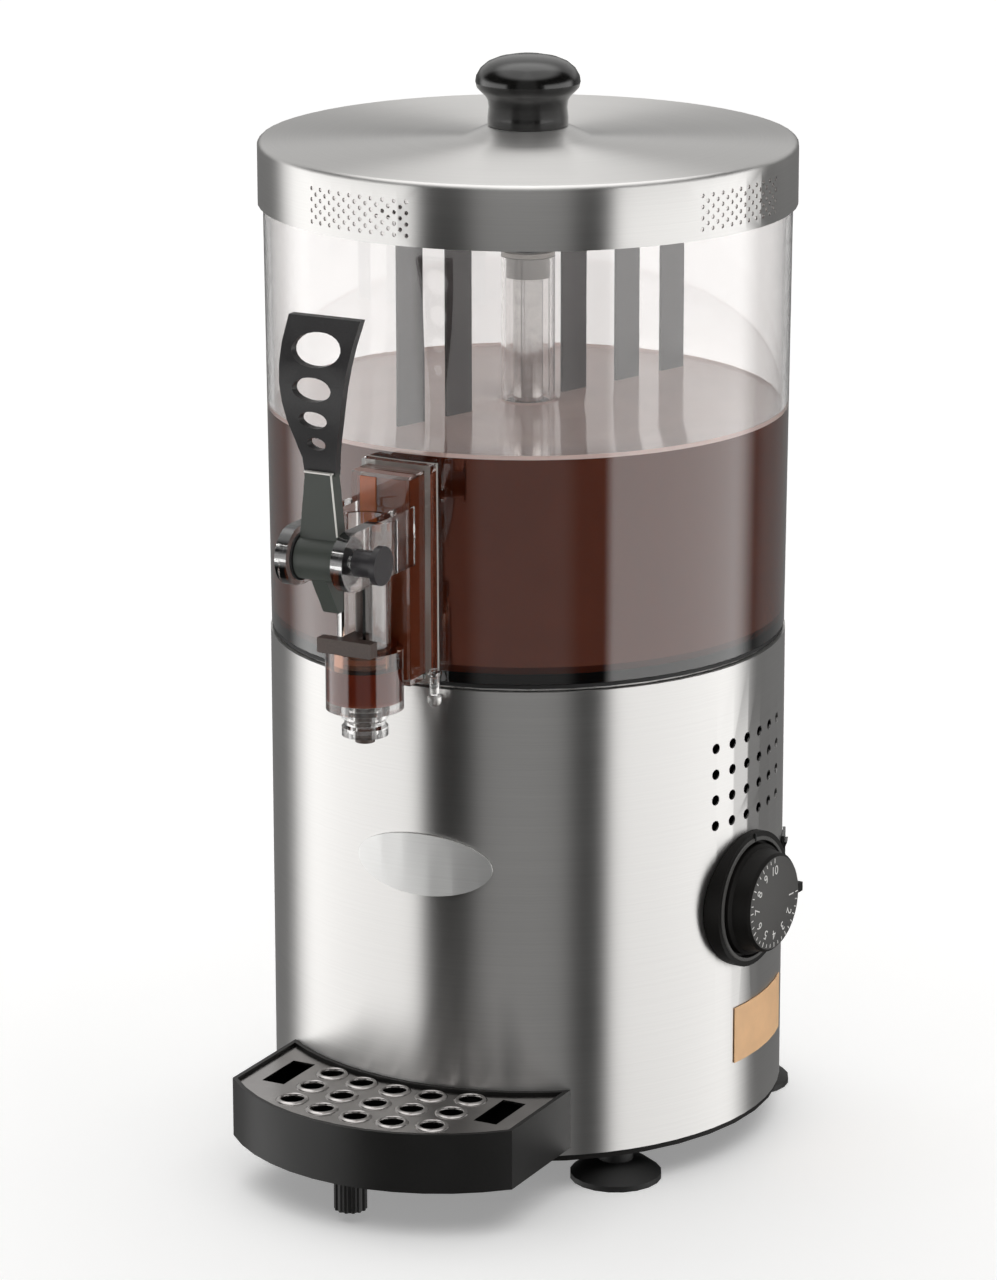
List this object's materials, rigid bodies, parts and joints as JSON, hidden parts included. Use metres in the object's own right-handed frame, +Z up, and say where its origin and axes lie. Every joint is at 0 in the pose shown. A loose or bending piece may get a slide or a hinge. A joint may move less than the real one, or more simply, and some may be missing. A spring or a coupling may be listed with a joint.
{
  "type": "hot chocolate dispenser",
  "caption": "Counter-top hot drink dispenser: steel base with thermostat and switch, clear stirred tank, lever tap, drip tray and lift-off lid.",
  "frame": {"origin": "middle of the bounding box at the level of the feet", "axes": "+Z up, -Y the front with the tap and the drip tray, +X the side with the thermostat and the switch"},
  "size_m": [0.2706, 0.3502, 0.5244],
  "materials": {
    "pan_black": "satin black plastic",
    "foot_rubber": "black rubber",
    "housing_steel": "vertically reflecting brushed steel",
    "bath_steel": "drawn steel",
    "gasket_rubber": "black rubber",
    "heater_steel": "heat-stained steel tube",
    "brass": "turned brass",
    "bracket_steel": "folded zinc-coated sheet",
    "gearbox_grey": "grey moulded plastic",
    "gear_nylon": "natural nylon",
    "shaft_steel": "ground steel",
    "motor_steel": "grey painted can",
    "copper": "varnished copper winding",
    "tank_clear": "clear moulded polycarbonate",
    "tap_clear": "clear moulded polycarbonate",
    "gasket_milky": "milky silicone",
    "bush_white": "white acetal",
    "piston_taupe": "dark taupe plastic",
    "lever_black": "satin black plastic",
    "knob_black": "satin black plastic",
    "knob_gloss": "glossy black plastic",
    "switch_black": "glossy black plastic",
    "thermostat_white": "white ceramic-filled plastic",
    "terminal_ivory": "ivory plastic",
    "stirrer_steel": "dull steel strip",
    "shaft_bright": "polished steel rod",
    "lid_steel": "brushed steel, turned grain on top",
    "badge_silver": "bare light brushed plate",
    "label_orange": "bare orange film",
    "tray_black": "satin black plastic",
    "grate_steel": "polished pressed steel"
  },
  "bodies": {
    "base": {"base_pan": "pan_black", "foot_front_right": "foot_rubber", "foot_rear_right": "foot_rubber", "foot_rear_left": "foot_rubber", "foot_front_left": "foot_rubber", "housing_shell": "housing_steel", "bath_pan": "bath_steel", "tank_gasket": "gasket_rubber", "heating_element": "heater_steel", "heater_nut_left": "brass", "heater_nut_right": "brass", "motor_bracket": "bracket_steel", "gearbox_case": "gearbox_grey", "gearbox_cover": "gearbox_grey", "shaft_bush": "brass", "shaft_seal": "gasket_rubber", "motor_housing": "motor_steel", "motor_winding": "copper", "motor_end_cap": "pan_black", "thermostat_body": "thermostat_white", "dial_bezel": "knob_black", "switch_body": "switch_black", "terminal_block": "terminal_ivory", "cable_gland": "pan_black", "gland_nut": "pan_black", "name_badge": "badge_silver", "side_label": "label_orange"},
    "drive": {"drive_shaft": "shaft_steel", "output_gear": "gear_nylon"},
    "idler": {"idler_gear": "gear_nylon"},
    "rotor": {"motor_rotor": "shaft_steel"},
    "dial": {"thermostat_knob": "knob_black", "thermostat_spindle": "shaft_steel"},
    "rocker": {"power_rocker": "switch_black"},
    "tray": {"drip_tray": "tray_black", "tray_peg": "tray_black"},
    "grate": {"drip_grate": "grate_steel"},
    "tank": {"tank": "tank_clear", "column_bush": "bush_white", "tap_body": "tap_clear", "tap_gasket": "gasket_milky", "outlet_collar": "tap_clear", "pivot_pin": "lever_black", "hub_washer_left": "gasket_rubber", "hub_washer_right": "gasket_rubber"},
    "lever": {"tap_lever": "lever_black"},
    "piston": {"tap_piston": "piston_taupe", "piston_ring": "gasket_rubber"},
    "stirrer": {"stirrer_shaft": "shaft_bright", "stirrer_hub": "stirrer_steel", "stirrer_arm": "stirrer_steel", "stirrer_nut": "shaft_steel", "blade_1": "stirrer_steel", "blade_2": "stirrer_steel", "blade_3": "stirrer_steel", "blade_4": "stirrer_steel", "blade_5": "stirrer_steel"},
    "lid": {"lid": "lid_steel", "lid_knob": "knob_gloss", "knob_screw": "shaft_steel"}
  },
  "joints": [
    {"name": "tank_lift", "type": "slide", "parent": "base", "child": "tank", "axis": [0, 0, 1], "range_m": [0, 0.05]},
    {"name": "lid_lift", "type": "slide", "parent": "tank", "child": "lid", "axis": [0, 0, 1], "range_m": [0, 0.06]},
    {"name": "stirrer_spin", "type": "hinge", "parent": "tank", "child": "stirrer", "pos_m": [-0.00657, 0.03775, 0.36], "axis": [0, 0, 1], "continuous": true},
    {"name": "drive_spin", "type": "hinge", "parent": "base", "child": "drive", "pos_m": [-0.00657, 0.03775, 0.2], "axis": [0, 0, 1], "continuous": true},
    {"name": "idler_spin", "type": "hinge", "parent": "base", "child": "idler", "pos_m": [-0.00657, 0.06775, 0.157], "axis": [0, 0, 1], "continuous": true},
    {"name": "rotor_spin", "type": "hinge", "parent": "base", "child": "rotor", "pos_m": [-0.03255, 0.08275, 0.12], "axis": [0, 0, 1], "continuous": true},
    {"name": "lever_pull", "type": "hinge", "parent": "tank", "child": "lever", "pos_m": [-0.00657, -0.16125, 0.3245], "axis": [1, 0, 0], "range_deg": [0, 45], "stiffness_Nm_per_rad": 0.5, "springref_deg": -17.19},
    {"name": "piston_lift", "type": "slide", "parent": "tank", "child": "piston", "axis": [0, 0, 1], "range_m": [0, 0.012]},
    {"name": "thermostat_turn", "type": "hinge", "parent": "base", "child": "dial", "pos_m": [0.12283, 0.02529, 0.1281], "axis": [0.9954, -0.0958, 0], "range_deg": [-180, 90]},
    {"name": "rocker_tip", "type": "hinge", "parent": "base", "child": "rocker", "pos_m": [0.10942, 0.08461, 0.1345], "axis": [-0.3746, 0.9272, 0], "range_deg": [-16, 0]},
    {"name": "tray_slide", "type": "slide", "parent": "base", "child": "tray", "axis": [0, -1, 0], "range_m": [0, 0.06]},
    {"name": "grate_lift", "type": "slide", "parent": "tray", "child": "grate", "axis": [0, 0, 1], "range_m": [0, 0.03]}
  ],
  "couplings": [
    {"joint": "drive_spin", "follows": "stirrer_spin", "ratio": 1},
    {"joint": "idler_spin", "follows": "stirrer_spin", "ratio": -3},
    {"joint": "rotor_spin", "follows": "stirrer_spin", "ratio": 9},
    {"joint": "piston_lift", "follows": "lever_pull", "m_per_rad": 0.015}
  ]
}
